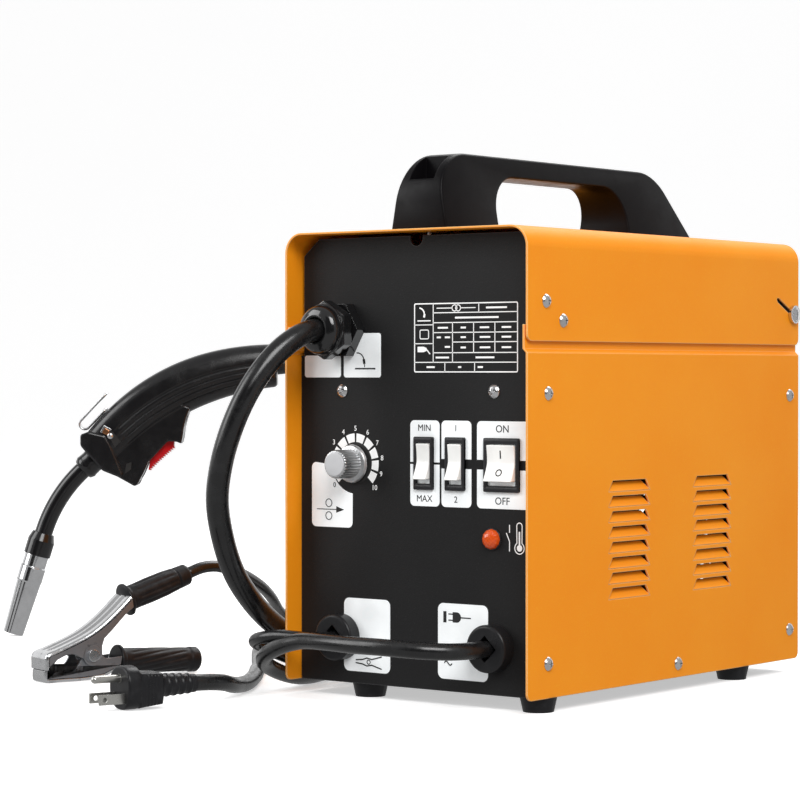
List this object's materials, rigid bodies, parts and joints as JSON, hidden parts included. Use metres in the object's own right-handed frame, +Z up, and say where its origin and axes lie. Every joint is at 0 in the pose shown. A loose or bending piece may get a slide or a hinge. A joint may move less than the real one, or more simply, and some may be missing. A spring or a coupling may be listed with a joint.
{
  "type": "mig welding machine",
  "caption": "Portable gasless wire-feed welder in a louvred steel case with hinged cover, carry handle, torch on a hose, sprung earth clamp and mains lead.",
  "frame": {"origin": "centre of the base tray's underside, one foot height above the floor", "axes": "+X to the right as seen from the front, +Y from the front panel to the rear, +Z up"},
  "size_m": [0.6209, 0.6483, 0.344],
  "materials": {
    "powder_orange": "fine textured powder coat",
    "powder_black": "fine textured powder coat",
    "zinc_sheet": "zinc plated",
    "screw_steel": "bright plated",
    "gland_nylon": "satin nylon",
    "bush_plastic": "satin",
    "handle_plastic": "satin, fine grain",
    "rocker_white": "gloss",
    "pot_body": "satin",
    "knob_silver": "satin metallised",
    "lamp_red": "clear gloss",
    "core_iron": "varnished laminations",
    "winding_copper": "copper, varnished",
    "board_green": "solder mask",
    "motor_steel": "machined",
    "feeder_zinc": "yellow passivated zinc",
    "arm_black": "black oxide",
    "tension_red": "satin",
    "wire_flux": "wound flux-cored wire",
    "torch_plastic": "satin, fine grain",
    "trigger_red": "satin gloss",
    "hook_steel": "bright",
    "neck_black": "satin sleeve",
    "nozzle_chrome": "polished",
    "clamp_steel": "bright pressed steel",
    "grip_rubber": "satin",
    "plug_vinyl": "satin vinyl",
    "pin_brass": "nickel-washed brass",
    "cord_rubber": "satin rubber"
  },
  "bodies": {
    "machine": {"base_tray": "powder_black", "front_panel": "powder_black", "rear_panel": "powder_black", "deck": "zinc_sheet", "side_panel_left": "powder_orange", "side_panel_right": "powder_orange", "feet": "grip_rubber", "screws": "screw_steel", "gland_body": "gland_nylon", "gland_nut": "gland_nylon", "cord_bushes": "bush_plastic", "small_switch_housings": "bush_plastic", "mains_switch_housing": "bush_plastic", "potentiometer": "pot_body", "overheat_lamp": "lamp_red", "transformer_core": "core_iron", "transformer_windings": "winding_copper", "control_board": "board_green", "fan_frame": "bush_plastic", "feed_motor": "motor_steel", "feeder_plate": "feeder_zinc", "spool_spindle": "zinc_sheet", "spool_nut": "bush_plastic", "torch_shell_left": "torch_plastic", "torch_shell_right": "torch_plastic", "torch_hook": "hook_steel", "torch_neck": "neck_black", "torch_collar": "torch_plastic", "torch_insulator": "torch_plastic", "contact_tip": "winding_copper", "torch_nozzle": "nozzle_chrome", "clamp_lower_jaw": "clamp_steel", "clamp_lower_grip": "grip_rubber", "clamp_rivet": "hook_steel", "clamp_spring": "hook_steel", "plug_body": "plug_vinyl", "plug_pins": "pin_brass", "torch_hose": "cord_rubber", "torch_hose_coil": "cord_rubber", "earth_lead": "cord_rubber", "mains_lead": "cord_rubber", "mains_lead_coil": "cord_rubber"},
    "cover": {"cover": "powder_orange", "handle": "handle_plastic", "cover_screws": "screw_steel"},
    "min_max_switch": {"min_max_rocker": "rocker_white"},
    "one_two_switch": {"one_two_rocker": "rocker_white"},
    "mains_switch": {"mains_rocker": "rocker_white"},
    "knob": {"speed_knob": "knob_silver"},
    "fan": {"fan_rotor": "bush_plastic"},
    "drive": {"drive_roller": "motor_steel"},
    "arm": {"pressure_arm": "arm_black", "tension_screw": "tension_red"},
    "press": {"pressure_roller": "motor_steel"},
    "spool": {"wire_spool": "bush_plastic", "wire_winding": "wire_flux"},
    "trigger": {"torch_trigger": "trigger_red"},
    "clamp_upper": {"clamp_upper_jaw": "clamp_steel", "clamp_upper_grip": "grip_rubber"}
  },
  "joints": [
    {"name": "cover_hinge", "type": "hinge", "parent": "machine", "child": "cover", "pos_m": [0, 0.1535, 0.237], "axis": [-1, 0, 0], "range_deg": [0, 100]},
    {"name": "min_max_rock", "type": "hinge", "parent": "machine", "child": "min_max_switch", "pos_m": [0.0064, -0.144, 0.1407], "axis": [1, 0, 0], "range_deg": [0, 18]},
    {"name": "one_two_rock", "type": "hinge", "parent": "machine", "child": "one_two_switch", "pos_m": [0.0308, -0.144, 0.1407], "axis": [1, 0, 0], "range_deg": [0, 18]},
    {"name": "mains_rock", "type": "hinge", "parent": "machine", "child": "mains_switch", "pos_m": [0.0662, -0.144, 0.1407], "axis": [1, 0, 0], "range_deg": [0, 18]},
    {"name": "speed_turn", "type": "hinge", "parent": "machine", "child": "knob", "pos_m": [-0.0502, -0.152, 0.1393], "axis": [0, 1, 0], "range_deg": [0, 270]},
    {"name": "fan_spin", "type": "hinge", "parent": "machine", "child": "fan", "pos_m": [0, 0.1443, 0.076], "axis": [0, 1, 0], "continuous": true},
    {"name": "drive_spin", "type": "hinge", "parent": "machine", "child": "drive", "pos_m": [-0.06, -0.0898, 0.20855], "axis": [1, 0, 0], "continuous": true},
    {"name": "arm_lift", "type": "hinge", "parent": "machine", "child": "arm", "pos_m": [-0.06, -0.1138, 0.23745], "axis": [1, 0, 0], "range_deg": [0, 12]},
    {"name": "press_spin", "type": "hinge", "parent": "arm", "child": "press", "pos_m": [-0.06, -0.0898, 0.23545], "axis": [1, 0, 0], "continuous": true},
    {"name": "spool_spin", "type": "hinge", "parent": "machine", "child": "spool", "pos_m": [-0.06, 0.044, 0.2132], "axis": [1, 0, 0], "continuous": true},
    {"name": "trigger_pull", "type": "hinge", "parent": "machine", "child": "trigger", "pos_m": [-0.41702, 0.07748, 0.15266], "axis": [0.6157, -0.788, 0], "range_deg": [0, 5], "stiffness_Nm_per_rad": 0.5, "springref_deg": -5.73},
    {"name": "clamp_open", "type": "hinge", "parent": "machine", "child": "clamp_upper", "pos_m": [-0.25528, -0.181, 0.0081], "axis": [-0.9511, 0.309, 0], "range_deg": [0, 18], "stiffness_Nm_per_rad": 2, "springref_deg": -17.19, "deforming": ["earth_lead"]}
  ],
  "couplings": [
    {"joint": "press_spin", "follows": "drive_spin", "ratio": -1.3636}
  ]
}
